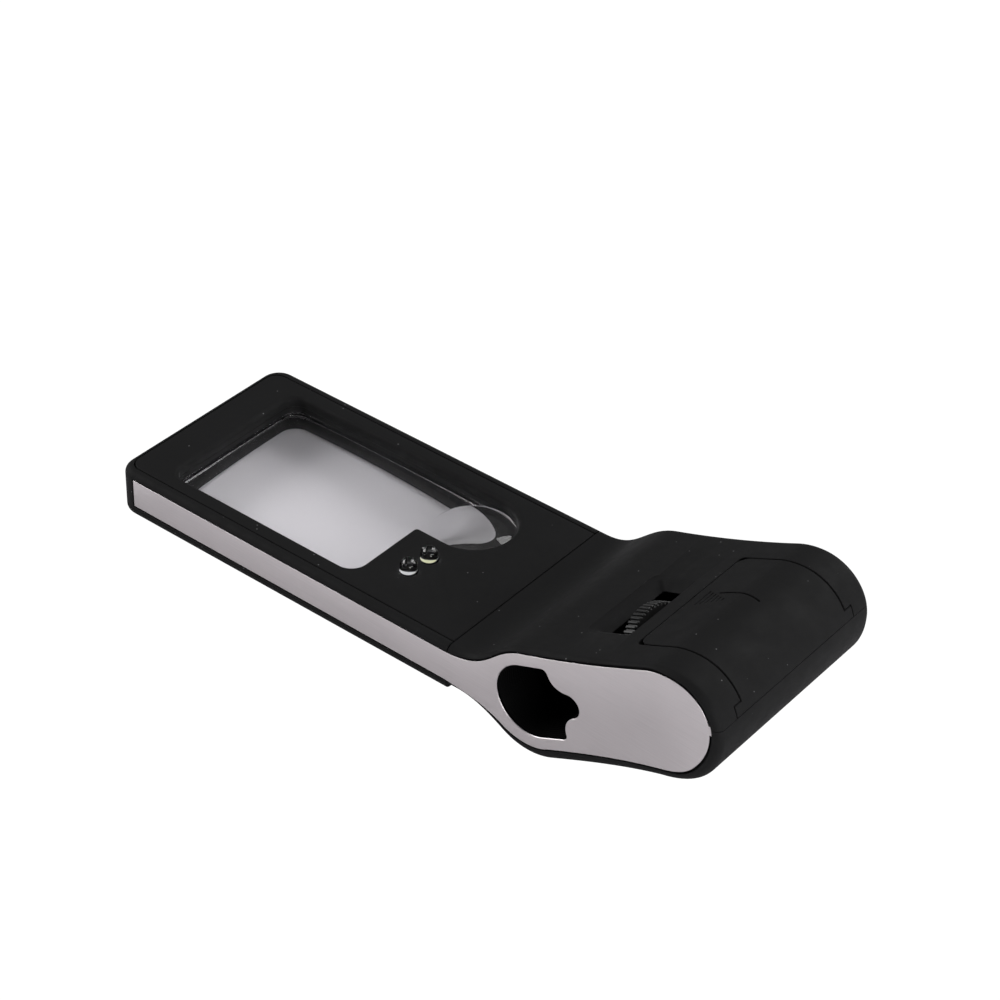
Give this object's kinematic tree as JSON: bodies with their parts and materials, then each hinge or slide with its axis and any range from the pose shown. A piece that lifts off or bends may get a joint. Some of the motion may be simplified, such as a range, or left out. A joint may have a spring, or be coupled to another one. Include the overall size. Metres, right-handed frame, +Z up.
{
  "type": "counterfeit bill detector",
  "caption": "Pocket counterfeit note detector: flat illuminated magnifier section, bent grip with a side-looking focusing microscope, battery hatch and steel side plates.",
  "frame": {"origin": "centre of the footprint, on the surface the detector rests on", "axes": "+X along the length from the lens section to the battery end, +Y across the width towards the eyepiece side plate, +Z up with the detector resting on its front lower edge and on the belly under the microscope"},
  "size_m": [0.1382, 0.0464, 0.0352],
  "materials": {
    "soft_black_case": "soft-touch matt black over moulded plastic",
    "inner_black": "dull black moulded plastic",
    "wheel_black": "satin black moulded plastic",
    "brushed_side_plate": "fine brushed stainless sheet",
    "clear_acrylic": "polished clear acrylic",
    "led_epoxy": "clear cast epoxy",
    "circuit_board": "green solder mask",
    "resistor_black": "black ceramic chip",
    "plated_steel": "nickel plated steel",
    "cell_steel": "nickel plated cell can",
    "white_acetal": "natural white acetal",
    "red_insulation": "red PVC insulation",
    "black_insulation": "black PVC insulation"
  },
  "bodies": {
    "case": {"front_frame": "soft_black_case", "lens_bezel": "soft_black_case", "bottom_cover": "soft_black_case", "upper_housing": "soft_black_case", "lower_housing": "soft_black_case", "objective_side_plate": "brushed_side_plate", "eyepiece_side_plate": "brushed_side_plate", "magnifier_lens": "clear_acrylic", "white_led": "led_epoxy", "uv_led": "led_epoxy", "specimen_led": "led_epoxy", "circuit_board": "circuit_board", "led_resistor_1": "resistor_black", "led_resistor_2": "resistor_black", "led_resistor_3": "resistor_black", "switch_body": "plated_steel", "positive_lead": "red_insulation", "negative_lead": "black_insulation", "cover_screw_1": "plated_steel", "cover_screw_2": "plated_steel", "cover_screw_3": "plated_steel", "cover_screw_4": "plated_steel", "housing_screw_1": "plated_steel", "housing_screw_2": "plated_steel", "housing_screw_3": "plated_steel", "housing_screw_4": "plated_steel", "objective_shroud": "inner_black", "barrel_sleeve": "inner_black", "field_lens": "clear_acrylic", "lens_retainer": "inner_black", "eyepiece_cup": "inner_black", "eye_lens": "clear_acrylic", "wheel_bracket": "white_acetal", "battery_cradle": "inner_black", "battery_cell_1": "cell_steel", "battery_cell_2": "cell_steel", "battery_cell_3": "cell_steel", "battery_spring": "plated_steel", "battery_contact": "plated_steel"},
    "focus_drive": {"focus_wheel": "wheel_black", "focus_shaft": "plated_steel"},
    "objective_tube": {"objective_barrel": "inner_black", "objective_lens": "clear_acrylic"},
    "hatch": {"battery_door": "soft_black_case"},
    "switch_slider": {"switch_knob": "wheel_black"}
  },
  "joints": [
    {"name": "focus_turn", "type": "hinge", "parent": "case", "child": "focus_drive", "pos_m": [0.04453, -0.00485, 0.01922], "axis": [0.9003, 0, 0.4352], "range_deg": [-58, 58]},
    {"name": "objective_slide", "type": "slide", "parent": "case", "child": "objective_tube", "axis": [0, 1, 0], "range_m": [-0.0025, 0.0025]},
    {"name": "hatch_slide", "type": "slide", "parent": "case", "child": "hatch", "axis": [0.9003, 0, 0.4352], "range_m": [0, 0.018]},
    {"name": "switch_slide", "type": "slide", "parent": "case", "child": "switch_slider", "axis": [0.9992, 0, 0.0401], "range_m": [-0.0016, 0.0016]}
  ],
  "couplings": [
    {"joint": "focus_turn", "follows": "objective_slide", "rad_per_m": 400}
  ]
}
